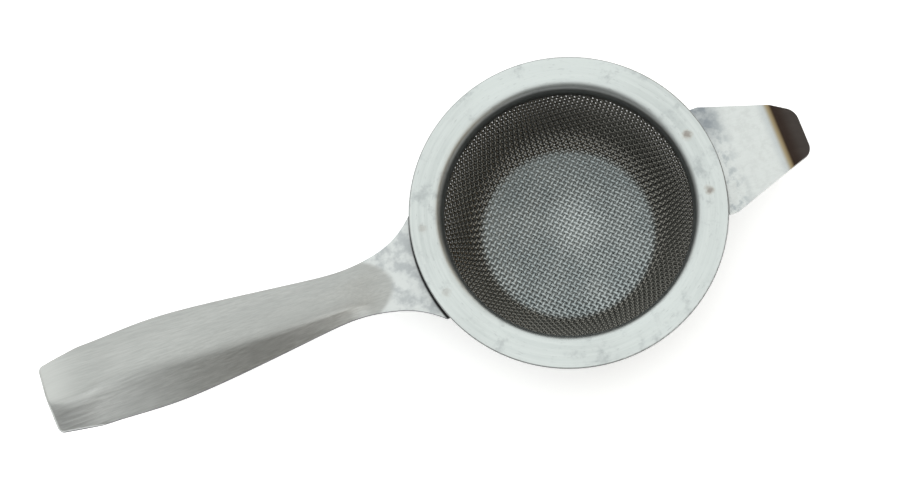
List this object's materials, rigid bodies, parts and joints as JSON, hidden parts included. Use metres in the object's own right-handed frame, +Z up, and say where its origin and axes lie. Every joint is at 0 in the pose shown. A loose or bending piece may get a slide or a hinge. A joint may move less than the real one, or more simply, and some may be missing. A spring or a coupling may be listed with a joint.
{
  "type": "tea strainer",
  "caption": "Hand-held tea strainer: woven wire basket hung in a flat steel ring, with a hollow grip on one side and a rest tab on the other.",
  "frame": {"origin": "centre of the basket's flat underside, on the ring's axis", "axes": "+Z up along the ring's axis, +X towards the rest tab, the handle runs along -X"},
  "size_m": [0.1759, 0.07, 0.0254],
  "materials": {
    "rim_steel": "satin",
    "mesh_steel": "drawn wire",
    "tab_steel": "satin",
    "grip_steel": "brushed lengthwise",
    "weld_steel": "heat-tinted"
  },
  "bodies": {
    "root": {"rim_ring": "rim_steel", "mesh_basket": "mesh_steel", "mesh_collar": "rim_steel", "rest_tab": "tab_steel", "handle_upper_shell": "grip_steel", "handle_lower_shell": "grip_steel", "tab_spot_welds": "weld_steel", "handle_spot_welds": "weld_steel"}
  },
  "joints": []
}
